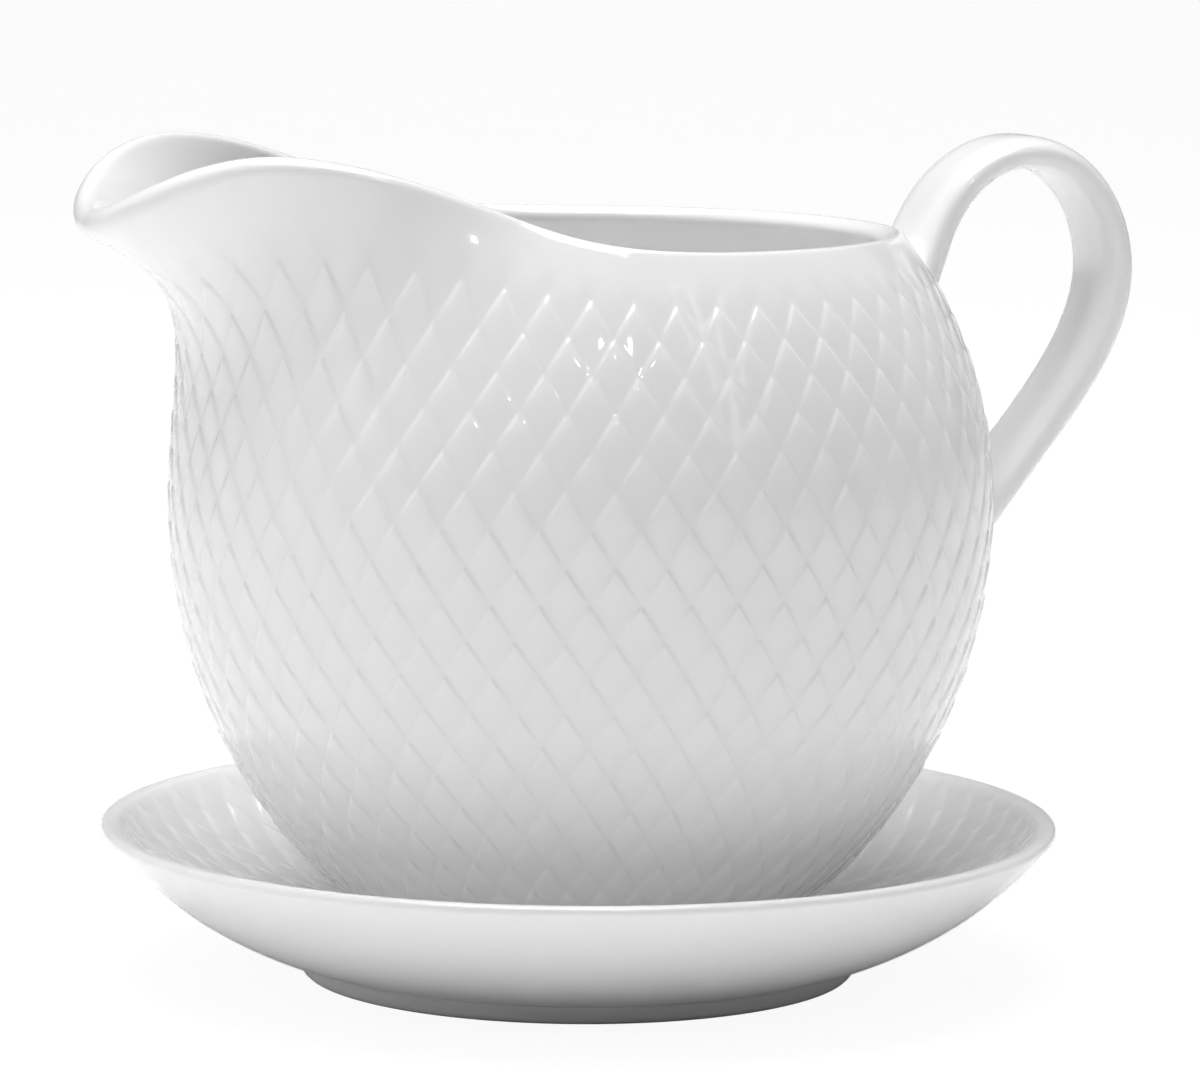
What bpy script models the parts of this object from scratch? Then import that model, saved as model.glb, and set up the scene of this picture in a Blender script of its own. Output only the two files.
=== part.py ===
"""Gravy boat: a round porcelain jug with a broad spout and a ribbon handle, loose in a round saucer.

Metres, +Z up. X runs along the jug, from the spout at -X to the handle at +X, and Y across it.
The origin is on the standing plane, at the middle of the overall length.
"""

import math

import bmesh
import bpy

# Saucer
SAUCER_RADIUS = 0.0700
SAUCER_HEIGHT = 0.0226
SAUCER_WALL = 0.0034
SAUCER_FOOT_WIDTH = 0.0034
SAUCER_FOOT_HEIGHT = 0.0030
SAUCER_FOOT_OUTSET = 0.0035
SAUCER_FOOT_TAPER = 0.0004
SAUCER_FOOT_FILLET = 0.0020
SAUCER_RECESS_SLOPE = 0.0010
SAUCER_FLARE_SHARE = 0.6136
SAUCER_FLARE_HEIGHT = 0.0080
SAUCER_LIP_WIDTH = 0.0018
SAUCER_LIP_DROP = 0.0012
SAUCER_LIP_DISH = 0.0003
SAUCER_UNDERCUT = 0.0006
SLOPE_END_IN_WALLS = 0.8
SLOPE_CONTROL_IN_WALLS = 0.3
SLOPE_CONTROL_UP_WALLS = 0.95

# Jug body
BELLY_RADIUS = 0.0600
SHOULDER_RISE = 0.0620
BODY_WALL = 0.0034
JUG_FOOT_RADIUS = 0.0320
JUG_FOOT_WIDTH = 0.0030
JUG_FOOT_HEIGHT = 0.0034
JUG_FOOT_INSET = 0.0002
JUG_FOOT_TAPER = 0.0004
JUG_FOOT_SINK = 0.0006
BODY_BASE_TO_BELLY = 0.0595
BODY_BASE_TO_RIM = 0.0995
LIP_ROUNDING = 0.0012
LIP_EDGE_ANGLE = math.radians(60)
FOOT_EDGE = 0.0005

# Spout, measured from the plain round rim
SPOUT_REACH = 0.0760
SPOUT_HALF_ANGLE = math.radians(37)
SPOUT_ROOT_BELOW_RIM = 0.0370
CREST_RISE = 0.0116
CREST_ANGLE = math.radians(30)
CREST_SPREAD_INNER = math.radians(20)
CREST_SPREAD_OUTER = math.radians(31)
PINCH_DEPTH = 0.0030
PINCH_ANGLE = math.radians(58)
PINCH_SPREAD = math.radians(14)
LATE_THROW_SHARE = 0.75
LATE_THROW_POWER = 5
EARLY_THROW_POWER = 1.8
CREST_POWER = 3

# Handle, a flat strap bent into a loop
HANDLE_REACH = 0.0848
HANDLE_WIDTH = 0.0164
HANDLE_THICKNESS = 0.0050
HANDLE_TOP_ABOVE_RIM = 0.0122
HANDLE_TOP_SHARE = 0.536
HANDLE_WAIST_BELOW_RIM = 0.0080
HANDLE_UPPER_ROOT_BELOW_RIM = 0.0110
HANDLE_LOWER_ROOT_BELOW_RIM = 0.0480
HANDLE_UPPER_ROOT_IN = 0.0015
HANDLE_LOWER_ROOT_IN = 0.0020
HANDLE_UPPER_ROOT_FLARE = 1.12
HANDLE_LOWER_ROOT_FLARE = 1.10
HANDLE_LOWER_ROOT_LEAD = (0.0105, 0.0138)
HANDLE_ROOT_TAIL = 0.0020
HANDLE_RISE_PULL = 0.55
HANDLE_BACK_PULL = 0.52
HANDLE_DROP_PULL = 0.32
STRAP_SIDE_POWER = 0.7
STRAP_FACE_POWER = 0.8

# Fits
GAP = 0.0003
WELL_CLEARANCE = 0.0050

# Where things come, from the sizes above
WELL_RADIUS = JUG_FOOT_RADIUS + WELL_CLEARANCE
SAUCER_FOOT_RADIUS = WELL_RADIUS + SAUCER_FOOT_OUTSET
SAUCER_FLARE_RADIUS = SAUCER_FOOT_RADIUS + SAUCER_FLARE_SHARE * (SAUCER_RADIUS - SAUCER_FOOT_RADIUS)
WELL_FLOOR = SAUCER_FOOT_HEIGHT + SAUCER_WALL
JUG_FOOT_Z = WELL_FLOOR + GAP
BODY_BASE_Z = JUG_FOOT_Z + JUG_FOOT_HEIGHT
BELLY_Z = BODY_BASE_Z + BODY_BASE_TO_BELLY
RIM_Z = BODY_BASE_Z + BODY_BASE_TO_RIM
BODY_BASE_RADIUS = JUG_FOOT_RADIUS + JUG_FOOT_INSET
BELLY_DROP = BODY_BASE_TO_BELLY / math.sqrt(1 - (BODY_BASE_RADIUS / BELLY_RADIUS) ** 2)
JUG_AXIS_X = (SPOUT_REACH - HANDLE_REACH) / 2

# How finely the round shapes are divided
COLUMNS = 72
RINGS = 18
RING_CROWDING = 1.25
SLOPE_STEPS = 12
LIP_STEPS = 3
STRAP_SIDES = 16
STRAP_STEPS = 12
MERGE_DISTANCE = 0.00001
SMOOTH_ANGLE = math.radians(35)


def clear_scene():
    for item in list(bpy.data.objects):
        bpy.data.objects.remove(item, do_unlink=True)


def new_collection(name):
    collection = bpy.data.collections.new(name)
    bpy.context.scene.collection.children.link(collection)
    return collection


def glaze(name, colour, roughness):
    """White glazed porcelain."""
    material = bpy.data.materials.new(name)
    material.use_nodes = True
    shader = material.node_tree.nodes["Principled BSDF"]
    shader.inputs["Base Color"].default_value = (*colour, 1.0)
    shader.inputs["Roughness"].default_value = roughness
    shader.inputs["Metallic"].default_value = 0.0
    return material


def add_object(name, mesh, collection, material=None):
    item = bpy.data.objects.new(name, mesh)
    collection.objects.link(item)
    if material:
        mesh.materials.clear()
        mesh.materials.append(material)
        mesh.shade_smooth()
        mesh.set_sharp_from_angle(angle=SMOOTH_ANGLE)
    return item


def make_cutter(item):
    item.hide_render = True
    item.display_type = "WIRE"


def turned(name, profile, collection, material=None, closed=False):
    """A profile of (radius, height) points, turned about Z by a Screw modifier."""
    mesh = bpy.data.meshes.new(name)
    count = len(profile)
    edges = [(i, i + 1) for i in range(count - 1)]
    if closed:
        edges.append((count - 1, 0))
    mesh.from_pydata([(radius, 0.0, height) for radius, height in profile], edges, [])
    item = add_object(name, mesh, collection, material)
    screw = item.modifiers.new("turn", "SCREW")
    screw.axis = "Z"
    screw.steps = COLUMNS
    screw.render_steps = COLUMNS
    screw.use_merge_vertices = True
    screw.merge_threshold = MERGE_DISTANCE
    screw.use_smooth_shade = True
    return item


def curve_points(start, control, end, steps):
    """Points of a quadratic curve that leaves start towards control and arrives at end."""
    points = []
    for i in range(steps + 1):
        t = i / steps
        points.append(
            tuple((1 - t) ** 2 * a + 2 * t * (1 - t) * b + t * t * c for a, b, c in zip(start, control, end))
        )
    return points


def saucer_profile():
    """From the middle of the well out to the lip, then down the underside and over the foot ring."""
    slope_start = (WELL_RADIUS, WELL_FLOOR)
    slope_control = (
        SAUCER_FLARE_RADIUS - SLOPE_CONTROL_IN_WALLS * SAUCER_WALL,
        SAUCER_FLARE_HEIGHT + SLOPE_CONTROL_UP_WALLS * SAUCER_WALL,
    )
    slope_end = (SAUCER_RADIUS - SLOPE_END_IN_WALLS * SAUCER_WALL, SAUCER_HEIGHT - SAUCER_LIP_DISH)
    lip_start = (SAUCER_RADIUS - SAUCER_LIP_WIDTH, SAUCER_HEIGHT)
    lip_corner = (SAUCER_RADIUS, SAUCER_HEIGHT)
    lip_end = (SAUCER_RADIUS, SAUCER_HEIGHT - SAUCER_LIP_DROP)
    under_start = (SAUCER_RADIUS - SAUCER_UNDERCUT, SAUCER_HEIGHT - SAUCER_LIP_DROP - SAUCER_UNDERCUT)
    under_control = (SAUCER_FLARE_RADIUS, SAUCER_FLARE_HEIGHT)
    under_end = (SAUCER_FOOT_RADIUS + SAUCER_FOOT_FILLET, SAUCER_FOOT_HEIGHT)
    foot_inner = SAUCER_FOOT_RADIUS - SAUCER_FOOT_WIDTH
    well = [(0.0, WELL_FLOOR)]
    slope = curve_points(slope_start, slope_control, slope_end, SLOPE_STEPS)
    lip = curve_points(lip_start, lip_corner, lip_end, LIP_STEPS)
    underside = curve_points(under_start, under_control, under_end, SLOPE_STEPS)
    foot = [
        (SAUCER_FOOT_RADIUS + SAUCER_FOOT_TAPER, SAUCER_FOOT_HEIGHT - 2 * SAUCER_FOOT_TAPER),
        (SAUCER_FOOT_RADIUS, FOOT_EDGE),
        (SAUCER_FOOT_RADIUS - FOOT_EDGE, 0.0),
        (foot_inner + FOOT_EDGE, 0.0),
        (foot_inner, FOOT_EDGE),
        (foot_inner - SAUCER_RECESS_SLOPE, SAUCER_FOOT_HEIGHT),
        (0.0, SAUCER_FOOT_HEIGHT),
    ]
    return well + slope + lip + underside + foot


def make_saucer(collection):
    material = glaze("saucer_glaze", (0.86, 0.86, 0.86), 0.12)
    saucer = turned("saucer", saucer_profile(), collection, material)
    saucer.location = (JUG_AXIS_X, 0.0, 0.0)
    return saucer


def bell(angle, centre, spread):
    return math.exp(-(((angle - centre) / spread) ** 2))


def body_radius(height):
    """Radius of the plain round body: half an ellipse below the belly and a shorter one above it."""
    rise = height - BELLY_Z
    reach = SHOULDER_RISE if rise > 0 else BELLY_DROP
    return BELLY_RADIUS * math.sqrt(1 - (rise / reach) ** 2)


def rim_shift(angle):
    """How far the rim moves outward and upward from the plain rim, at an angle from the spout."""
    angle = abs((angle + math.pi) % (2 * math.pi) - math.pi)
    throw = SPOUT_REACH - body_radius(RIM_Z)
    outward = throw * bell(angle, 0, SPOUT_HALF_ANGLE) - PINCH_DEPTH * bell(angle, PINCH_ANGLE, PINCH_SPREAD)
    spread = CREST_SPREAD_OUTER if angle > CREST_ANGLE else CREST_SPREAD_INNER
    upward = CREST_RISE * (bell(angle, CREST_ANGLE, spread) + bell(angle, -CREST_ANGLE, CREST_SPREAD_INNER))
    return outward, upward


def body_point(angle, height, offset=0.0):
    """A point of the outer wall at an angle from the spout; height is that of the plain round body."""
    climb = max(0.0, 1 - (RIM_Z - height) / SPOUT_ROOT_BELOW_RIM)
    outward, upward = rim_shift(angle)
    early_share = 1 - LATE_THROW_SHARE
    throw = LATE_THROW_SHARE * climb**LATE_THROW_POWER + early_share * climb**EARLY_THROW_POWER
    radius = body_radius(height) + outward * throw + offset
    rise = upward * climb**CREST_POWER
    return (-radius * math.cos(angle), -radius * math.sin(angle), height + rise)


def ring_heights():
    """Heights of the rings from the base to the rim, closest together near the rim."""
    span = RIM_Z - BODY_BASE_Z
    return [BODY_BASE_Z + span * (1 - (1 - i / RINGS) ** RING_CROWDING) for i in range(RINGS + 1)]


def loft(name, rings, caps, collection, material=None):
    """Skins rings of equal length into a surface and closes the ends that caps names with fans."""
    bm = bmesh.new()
    loops = [[bm.verts.new(point) for point in ring] for ring in rings]
    count = len(rings[0])
    for lower, upper in zip(loops, loops[1:]):
        for i in range(count):
            j = (i + 1) % count
            bm.faces.new((lower[i], lower[j], upper[j], upper[i]))
    for end in caps:
        loop = loops[end]
        centre = bm.verts.new(sum((vert.co for vert in loop), start=loop[0].co * 0) / count)
        for i in range(count):
            j = (i + 1) % count
            corner = (loop[i], loop[j]) if end else (loop[j], loop[i])
            bm.faces.new((centre, *corner))
    mesh = bpy.data.meshes.new(name)
    bm.to_mesh(mesh)
    bm.free()
    return add_object(name, mesh, collection, material)


def body_rings(offset=0.0):
    angles = [2 * math.pi * i / COLUMNS for i in range(COLUMNS)]
    return [[body_point(angle, height, offset) for angle in angles] for height in ring_heights()]


def make_body(collection, cutters):
    material = glaze("jug_glaze", (0.85, 0.85, 0.85), 0.12)
    body = loft("jug_body", body_rings(), (0,), collection, material)
    body.location = (JUG_AXIS_X, 0.0, 0.0)
    wall = body.modifiers.new("wall", "SOLIDIFY")
    wall.thickness = BODY_WALL
    wall.offset = -1.0
    wall.use_even_offset = True
    wall.use_rim = True
    rounding = body.modifiers.new("lip", "BEVEL")
    rounding.width = LIP_ROUNDING
    rounding.segments = 2
    rounding.limit_method = "ANGLE"
    rounding.angle_limit = LIP_EDGE_ANGLE

    foot_inner = JUG_FOOT_RADIUS - JUG_FOOT_WIDTH
    foot_top = BODY_BASE_Z + JUG_FOOT_SINK
    foot_profile = [
        (JUG_FOOT_RADIUS - JUG_FOOT_TAPER, foot_top),
        (JUG_FOOT_RADIUS, JUG_FOOT_Z + FOOT_EDGE),
        (JUG_FOOT_RADIUS - FOOT_EDGE, JUG_FOOT_Z),
        (foot_inner + FOOT_EDGE, JUG_FOOT_Z),
        (foot_inner, JUG_FOOT_Z + FOOT_EDGE),
        (foot_inner - JUG_FOOT_TAPER, foot_top),
    ]
    foot = turned("jug_foot_ring", foot_profile, cutters, closed=True)
    foot.location = body.location
    make_cutter(foot)
    union = body.modifiers.new("foot", "BOOLEAN")
    union.operation = "UNION"
    union.object = foot
    return body


def strap_section(collection):
    """Outline of the strap: an oval with full sides, wide across the jug."""
    data = bpy.data.curves.new("strap_section", "CURVE")
    data.dimensions = "2D"
    spline = data.splines.new("POLY")
    spline.points.add(STRAP_SIDES - 1)
    for i, point in enumerate(spline.points):
        turn = 2 * math.pi * i / STRAP_SIDES
        side = abs(math.cos(turn)) ** STRAP_SIDE_POWER
        face = abs(math.sin(turn)) ** STRAP_FACE_POWER
        across = math.copysign(side, math.cos(turn)) * HANDLE_WIDTH / 2
        through = math.copysign(face, math.sin(turn)) * HANDLE_THICKNESS / 2
        point.co = (through, across, 0.0, 1.0)
    spline.use_cyclic_u = True
    section = bpy.data.objects.new("strap_section", data)
    collection.objects.link(section)
    make_cutter(section)
    return section


def strap_knots():
    """Knots of the strap's middle line as (x, z, handle before, handle after, width factor)."""
    top_z = RIM_Z + HANDLE_TOP_ABOVE_RIM - HANDLE_THICKNESS / 2
    waist_x = HANDLE_REACH - HANDLE_THICKNESS / 2
    waist_z = RIM_Z - HANDLE_WAIST_BELOW_RIM
    upper_z = RIM_Z - HANDLE_UPPER_ROOT_BELOW_RIM
    lower_z = RIM_Z - HANDLE_LOWER_ROOT_BELOW_RIM
    upper_x = body_radius(upper_z) - HANDLE_UPPER_ROOT_IN
    lower_x = body_radius(lower_z) - HANDLE_LOWER_ROOT_IN
    top_x = upper_x + HANDLE_TOP_SHARE * (waist_x - upper_x)
    rise = HANDLE_RISE_PULL * (top_z - upper_z)
    back = HANDLE_BACK_PULL * (top_x - upper_x)
    out = HANDLE_RISE_PULL * (waist_x - top_x)
    fall = HANDLE_RISE_PULL * (top_z - waist_z)
    drop = HANDLE_DROP_PULL * (waist_z - lower_z)
    tail = HANDLE_ROOT_TAIL
    return [
        (upper_x, upper_z, (0.0, -tail), (0.0, rise), HANDLE_UPPER_ROOT_FLARE),
        (top_x, top_z, (-back, 0.0), (out, 0.0), 1.0),
        (waist_x, waist_z, (0.0, fall), (0.0, -drop), 1.0),
        (lower_x, lower_z, HANDLE_LOWER_ROOT_LEAD, (-tail, -tail), HANDLE_LOWER_ROOT_FLARE),
    ]


def make_handle(collection, cutters):
    data = bpy.data.curves.new("strap_line", "CURVE")
    data.dimensions = "3D"
    data.twist_mode = "MINIMUM"
    data.resolution_u = STRAP_STEPS
    data.use_fill_caps = True
    data.bevel_mode = "OBJECT"
    data.bevel_object = strap_section(cutters)
    spline = data.splines.new("BEZIER")
    knots = strap_knots()
    spline.bezier_points.add(len(knots) - 1)
    for point, (x, z, before, after, factor) in zip(spline.bezier_points, knots):
        point.handle_left_type = "FREE"
        point.handle_right_type = "FREE"
        point.co = (x, 0.0, z)
        point.handle_left = (x + before[0], 0.0, z + before[1])
        point.handle_right = (x + after[0], 0.0, z + after[1])
        point.radius = factor
    strap = bpy.data.objects.new("strap_line", data)
    cutters.objects.link(strap)
    bpy.context.view_layer.update()
    mesh = bpy.data.meshes.new_from_object(strap.evaluated_get(bpy.context.evaluated_depsgraph_get()))
    bpy.data.objects.remove(strap, do_unlink=True)

    bm = bmesh.new()
    bm.from_mesh(mesh)
    bmesh.ops.remove_doubles(bm, verts=bm.verts, dist=MERGE_DISTANCE)
    bmesh.ops.recalc_face_normals(bm, faces=bm.faces)
    bm.to_mesh(mesh)
    bm.free()
    mesh.name = "jug_handle"

    handle = add_object("jug_handle", mesh, collection, glaze("handle_glaze", (0.86, 0.86, 0.86), 0.12))
    handle.location = (JUG_AXIS_X, 0.0, 0.0)
    seat = loft("handle_seat", body_rings(GAP), (0, -1), cutters)
    seat.location = handle.location
    make_cutter(seat)
    trim = handle.modifiers.new("seat", "BOOLEAN")
    trim.operation = "DIFFERENCE"
    trim.object = seat
    return handle


def main():
    clear_scene()
    parts = new_collection("gravy_boat")
    cutters = new_collection("cutters")
    make_saucer(parts)
    body = make_body(parts, cutters)
    handle = make_handle(parts, cutters)
    jug = bpy.data.objects.new("jug", None)
    parts.objects.link(jug)
    for piece in (body, handle):
        piece.parent = jug


if __name__ == "__main__":
    main()
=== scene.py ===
"""Gravy boat: a glazed porcelain jug with a petal relief, a strap handle and a loose saucer.

The jug, the handle and the saucer are each one closed skin worked out on a grid, in metres, in the frame
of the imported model. They stand for its three solids and move with its two bodies."""
import math

import bpy
import numpy as np
from mathutils import Matrix, Vector


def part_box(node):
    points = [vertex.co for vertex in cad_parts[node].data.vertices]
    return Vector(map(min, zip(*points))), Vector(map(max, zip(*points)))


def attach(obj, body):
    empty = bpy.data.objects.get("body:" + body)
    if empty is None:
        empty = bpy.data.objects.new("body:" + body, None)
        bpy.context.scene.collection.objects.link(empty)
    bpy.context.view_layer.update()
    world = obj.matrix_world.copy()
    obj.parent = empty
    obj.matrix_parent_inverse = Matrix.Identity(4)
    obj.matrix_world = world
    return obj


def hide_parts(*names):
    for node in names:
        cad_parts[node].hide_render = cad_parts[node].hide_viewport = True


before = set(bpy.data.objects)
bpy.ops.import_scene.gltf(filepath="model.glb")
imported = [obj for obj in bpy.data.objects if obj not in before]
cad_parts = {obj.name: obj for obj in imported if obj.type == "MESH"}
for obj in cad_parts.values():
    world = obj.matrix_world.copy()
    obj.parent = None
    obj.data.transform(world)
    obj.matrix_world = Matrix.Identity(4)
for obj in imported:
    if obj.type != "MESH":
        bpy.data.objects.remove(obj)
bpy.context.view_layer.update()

bl_info = {
    "name": "Gravy Boat Maker",
    "version": (1, 0, 0),
    "blender": (4, 5, 0),
    "location": "3D View > Sidebar > Gravy Boat",
    "description": "Builds a porcelain gravy boat with a petal relief, a strap handle and a saucer",
    "category": "Add Mesh",
}

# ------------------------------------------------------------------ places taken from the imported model
saucer_low, saucer_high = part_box("saucer")
body_low, body_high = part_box("jug_body")
_, strap_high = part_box("jug_handle")

AXIS_X = (saucer_low.x + saucer_high.x) / 2
SAUCER_RADIUS = (saucer_high.x - saucer_low.x) / 2
SAUCER_HEIGHT = saucer_high.z
JUG_FOOT_Z = body_low.z
BELLY_RADIUS = (body_high.y - body_low.y) / 2
SPOUT_SETBACK = 0.0006
SPOUT_REACH = AXIS_X - body_low.x - SPOUT_SETBACK
HANDLE_REACH = strap_high.x - AXIS_X
HANDLE_TOP_Z = strap_high.z

# ------------------------------------------------------------------ plain shape of the jug
BASE_Z = JUG_FOOT_Z + 0.0034
BELLY_Z = BASE_Z + 0.0595
RIM_Z = BASE_Z + 0.0995
SHOULDER_RISE = 0.0620

JUG_FOOT_RADIUS = 0.0320
JUG_FOOT_WIDTH = 0.0030
JUG_ROOF_LIFT = 0.0006
BODY_BASE_RADIUS = JUG_FOOT_RADIUS + 0.0002
BELLY_DROP = (BELLY_Z - BASE_Z) / math.sqrt(1 - (BODY_BASE_RADIUS / BELLY_RADIUS) ** 2)

SPOUT_HALF_ANGLE = math.radians(37)
SPOUT_ROOT = 0.0370
SPOUT_BLUNT = 0.0022
BLUNT_ANGLE = math.radians(20)
BLUNT_SPREAD = math.radians(14)
LATE_THROW_SHARE = 0.75
LATE_THROW_POWER = 5
EARLY_THROW_POWER = 1.8

CREST_RISE = 0.0116
CREST_POWER = 3
CREST_ANGLE = math.radians(30)
CREST_SPREAD_INNER = math.radians(20)
CREST_SPREAD_OUTER = math.radians(31)
TIP_DROP = 0.0020
TIP_DROP_SPREAD = math.radians(15)
PINCH_DEPTH = 0.0030
PINCH_ANGLE = math.radians(58)
PINCH_SPREAD = math.radians(14)

# powers of the oval of the lip; the lip is rounder and thicker at the tip of the spout
LIP_SIDE_POWER = 0.8
LIP_OVER_POWER = 0.9
TIP_SPREAD = math.radians(26)
TIP_ROLL = 1.0
TIP_SWELL = 0.35

# the relief starts this far up the wall, and comes in over this many rows
RELIEF_FOOT = 0.0022
RELIEF_FADE_ROWS = 1.2
# climb at which the inside wall bends into the floor, and the reach of that bend
FLOOR_JOIN = 0.0105
FLOOR_BEND = 0.0075

# ------------------------------------------------------------------ plain shape of the saucer
WELL_FLOOR = 0.0064
WELL_RADIUS = 0.0370
WELL_BEND = 0.0030
SAUCER_WALL = 0.0034
SAUCER_FLARE = (0.0586, 0.0080)
SAUCER_FOOT_RADIUS = 0.0405
SAUCER_FOOT_WIDTH = 0.0034
SAUCER_FOOT_HEIGHT = 0.0030
SAUCER_ROOF_LIFT = 0.0002
# the first petal tips lie this far inside the end of the slope
FIRST_RING_INSET = 0.0008

# ------------------------------------------------------------------ plain shape of the handle
# knots of the handle's line; each leaves and arrives along its own direction by a share of the way on
STRAP_TOP_X = 0.0680
STRAP_HALF_DEPTH = 0.0025
WAIST_DROP = 0.0080
UPPER_ROOT_DROP = 0.0110
UPPER_ROOT_DEPTH = 0.0015
LOWER_ROOT_DROP = 0.0480
LOWER_ROOT_DEPTH = 0.0020
LOWER_ARRIVAL = (0.0105, 0.0138)
LONG_PULL = 0.55
TOP_PULL = 0.52
WAIST_PULL = 0.32
ROOT_GROWTH = 0.10


# ------------------------------------------------------------------ sizes and colours that can be changed
class JugSettings(bpy.types.PropertyGroup):
    """Sizes of the jug's wall and relief"""

    wall: bpy.props.FloatProperty(
        name="Wall", description="Thickness of the jug's wall",
        default=0.0034, min=0.002, max=0.006, unit="LENGTH")
    lip_roll: bpy.props.FloatProperty(
        name="Lip roll", description="Height of the rounded edge along the mouth",
        default=0.0014, min=0.0005, max=0.003, unit="LENGTH")
    collar: bpy.props.FloatProperty(
        name="Collar", description="Smooth band between the mouth and the first row of petals",
        default=0.0098, min=0.004, max=0.02, unit="LENGTH")
    petals: bpy.props.IntProperty(
        name="Petals", description="Number of petals in one row around the jug",
        default=54, min=24, max=72)
    row_pitch: bpy.props.FloatProperty(
        name="Row pitch", description="Step from one row of petal tips to the next",
        default=0.0052, min=0.003, max=0.01, unit="LENGTH")
    relief: bpy.props.FloatProperty(
        name="Relief", description="Height of a petal's tip above the valley beside it",
        default=0.00032, min=0.0, max=0.001, unit="LENGTH")
    turn: bpy.props.FloatProperty(
        name="Turn", description="Turn of the first petal tip away from the spout",
        default=math.radians(5.5), subtype="ANGLE")


class SaucerSettings(bpy.types.PropertyGroup):
    """Sizes of the saucer's relief"""

    petals: bpy.props.IntProperty(
        name="Petals", description="Number of petals in one ring on the saucer's slope",
        default=58, min=24, max=72)
    row_pitch: bpy.props.FloatProperty(
        name="Row pitch", description="Step from one ring of petal tips to the next",
        default=0.00565, min=0.003, max=0.01, unit="LENGTH")
    relief: bpy.props.FloatProperty(
        name="Relief", description="Height of a petal's tip above the valley beside it",
        default=0.00032, min=0.0, max=0.001, unit="LENGTH")
    turn: bpy.props.FloatProperty(
        name="Turn", description="Turn of the first petal tip away from the spout",
        default=math.radians(175.0), subtype="ANGLE")


class HandleSettings(bpy.types.PropertyGroup):
    """Sizes of the strap handle"""

    width: bpy.props.FloatProperty(
        name="Width", description="Width of the strap",
        default=0.0164, min=0.008, max=0.03, unit="LENGTH")
    thickness: bpy.props.FloatProperty(
        name="Thickness", description="Thickness of the strap",
        default=0.0050, min=0.003, max=0.01, unit="LENGTH")
    fillet: bpy.props.FloatProperty(
        name="Fillet", description="Reach of the rounded joint where the strap meets the jug",
        default=0.0022, min=0.0005, max=0.006, unit="LENGTH")


class GlazeSettings(bpy.types.PropertyGroup):
    """Colours of the porcelain"""

    body: bpy.props.FloatVectorProperty(
        name="Glaze", description="Colour of the glaze over raised porcelain",
        default=(0.92, 0.92, 0.92), size=3, min=0, max=1, subtype="COLOR")
    # greyer glaze for the hollows of the relief, partly glaze that lies thick there and partly painted shade
    pooled_and_shaded: bpy.props.FloatVectorProperty(
        name="Thick glaze and painted shade", description="Colour of the glaze in the valleys, where it lies thick and where painted shade greys it",
        default=(0.86, 0.865, 0.87), size=3, min=0, max=1, subtype="COLOR")
    bisque: bpy.props.FloatVectorProperty(
        name="Bare porcelain", description="Colour of the wiped foot rings",
        default=(0.76, 0.75, 0.73), size=3, min=0, max=1, subtype="COLOR")
    gloss: bpy.props.FloatProperty(
        name="Glaze roughness", description="Roughness of the fired glaze",
        default=0.06, min=0, max=1, subtype="FACTOR")


class StageSettings(bpy.types.PropertyGroup):
    """Floor, light and camera"""

    paper: bpy.props.FloatVectorProperty(
        name="Paper", description="Colour of the studio paper",
        default=(0.94, 0.94, 0.94), size=3, min=0, max=1, subtype="COLOR")
    room: bpy.props.FloatProperty(
        name="Room light", description="Strength of the light from behind the object",
        default=0.69, min=0, max=5)
    front_share: bpy.props.FloatProperty(
        name="Front share", description="Light from the camera's side, as a share of the light from behind",
        default=0.09, min=0, max=2, subtype="FACTOR")
    left_lamp: bpy.props.FloatProperty(
        name="Left soft box", description="Power of the soft box on the left, in watts",
        default=1.1, min=0, max=100)
    top_lamp: bpy.props.FloatProperty(
        name="Top soft box", description="Power of the soft box overhead, in watts",
        default=23.0, min=0, max=100)
    strip_lamp: bpy.props.FloatProperty(
        name="Strip lamp", description="Power of the narrow lamp on the right, in watts",
        default=0.5, min=0, max=100)
    small_lamp: bpy.props.FloatProperty(
        name="Small lamp", description="Power of the small lamp that makes the sparkles, in watts",
        default=0.25, min=0, max=100)
    camera_distance: bpy.props.FloatProperty(
        name="Camera distance", description="Distance from the camera to the jug's axis",
        default=0.8727, min=0.2, max=5, unit="LENGTH")
    camera_turn: bpy.props.FloatProperty(
        name="Camera turn", description="Turn of the camera about the upright axis",
        default=math.radians(-19.2), subtype="ANGLE")
    camera_rise: bpy.props.FloatProperty(
        name="Camera rise", description="Height of the camera above the horizon, as an angle",
        default=math.radians(7.985), subtype="ANGLE")
    camera_roll: bpy.props.FloatProperty(
        name="Camera roll", description="Roll of the camera about its own line of sight",
        default=math.radians(0.406), subtype="ANGLE")
    lens: bpy.props.FloatProperty(
        name="Lens", description="Focal length for a 36 mm wide sensor, in millimetres",
        default=179.2, min=20, max=400)


# ------------------------------------------------------------------ small shapes shared by the pieces
def soft_step(low, high, value):
    """Smooth climb from 0 at low to 1 at high: three times the square of the share of the way, less twice
    its cube."""
    share = np.clip((value - low) / (high - low), 0.0, 1.0)
    return share * share * (3 - 2 * share)


def bell(angle, centre, spread):
    """Bell curve: e to minus the square of the distance from the centre in spreads."""
    return np.exp(-(((angle - centre) / spread) ** 2))


def bend(start, control, end, steps):
    """Points on a curve from start to end that leaves and arrives in line with the control point: the three
    points weighted by (1-t) squared, 2t(1-t) and t squared."""
    t = np.linspace(0, 1, steps)[:, None]
    return (1 - t) ** 2 * np.array(start) + 2 * t * (1 - t) * np.array(control) + t**2 * np.array(end)


def quarter(start, corner, end, steps):
    """The same curve without its first point, to round a corner of a profile."""
    return bend(start, corner, end, steps + 1)[1:]


def along(points):
    """Distance from the first point to each point of a profile."""
    return np.concatenate([[0.0], np.cumsum(np.linalg.norm(np.diff(points, axis=0), axis=1))])


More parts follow.
